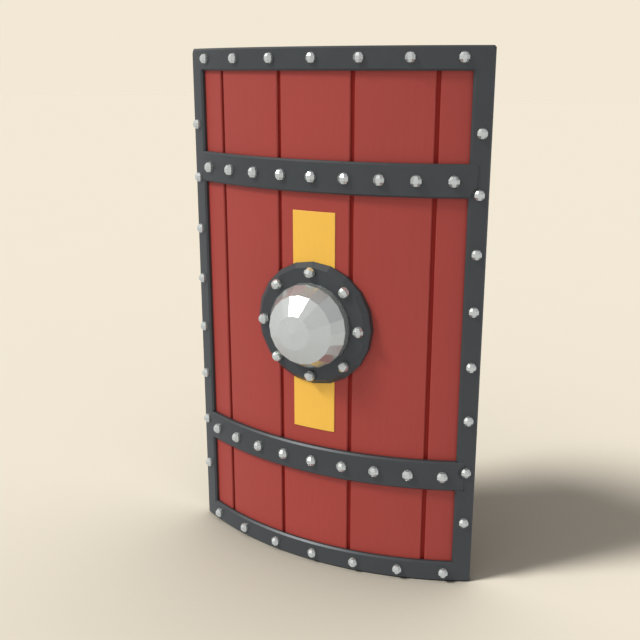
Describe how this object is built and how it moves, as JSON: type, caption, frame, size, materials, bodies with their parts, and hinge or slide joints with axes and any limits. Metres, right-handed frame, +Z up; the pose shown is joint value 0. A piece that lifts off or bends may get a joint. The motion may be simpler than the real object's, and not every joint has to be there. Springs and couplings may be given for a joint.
{
  "type": "curved rectangular shield",
  "caption": "Tall curved rectangular shield of painted planks in a riveted iron rim, with cross bands, a domed steel boss and a hand grip behind it.",
  "frame": {"origin": "on the floor under the middle of the shield's box, at the level of its lower edge", "axes": "+Z up along the shield's height, -Y the way the painted front and the boss face, +X to the right of someone who looks at the front"},
  "size_m": [0.6426, 0.18, 1.05],
  "materials": {
    "red_paint": "red paint, satin, brushed on over boards",
    "dark_red_paint": "dark red paint, matt",
    "yellow_paint": "yellow paint on a thin strip, satin",
    "dark_iron": "dark, evenly blackened, satin",
    "bright_steel": "bright, flat facets, softly polished",
    "bare_wood": "oiled, worn smooth by the hand"
  },
  "bodies": {
    "root": {"backing_board": "dark_red_paint", "boss_dome": "bright_steel", "boss_ring": "dark_iron", "boss_rivet_1": "bright_steel", "boss_rivet_2": "bright_steel", "boss_rivet_3": "bright_steel", "boss_rivet_4": "bright_steel", "boss_rivet_5": "bright_steel", "boss_rivet_6": "bright_steel", "boss_rivet_7": "bright_steel", "boss_rivet_8": "bright_steel", "bottom_rim_strip": "dark_iron", "bottom_rivet_1": "bright_steel", "bottom_rivet_2": "bright_steel", "bottom_rivet_3": "bright_steel", "bottom_rivet_4": "bright_steel", "bottom_rivet_5": "bright_steel", "bottom_rivet_6": "bright_steel", "bottom_rivet_7": "bright_steel", "hand_grip": "bare_wood", "left_rim_strip": "dark_iron", "left_rivet_1": "bright_steel", "left_rivet_2": "bright_steel", "left_rivet_3": "bright_steel", "left_rivet_4": "bright_steel", "left_rivet_5": "bright_steel", "left_rivet_6": "bright_steel", "left_rivet_7": "bright_steel", "left_rivet_8": "bright_steel", "lower_band": "dark_iron", "lower_stripe": "yellow_paint", "plank_1": "red_paint", "plank_2": "red_paint", "plank_3": "red_paint", "plank_4": "red_paint", "plank_5": "red_paint", "right_rim_strip": "dark_iron", "right_rivet_1": "bright_steel", "right_rivet_2": "bright_steel", "right_rivet_3": "bright_steel", "right_rivet_4": "bright_steel", "right_rivet_5": "bright_steel", "right_rivet_6": "bright_steel", "right_rivet_7": "bright_steel", "right_rivet_8": "bright_steel", "top_rim_strip": "dark_iron", "top_rivet_1": "bright_steel", "top_rivet_2": "bright_steel", "top_rivet_3": "bright_steel", "top_rivet_4": "bright_steel", "top_rivet_5": "bright_steel", "top_rivet_6": "bright_steel", "top_rivet_7": "bright_steel", "upper_band": "dark_iron", "upper_stripe": "yellow_paint"}
  },
  "joints": []
}
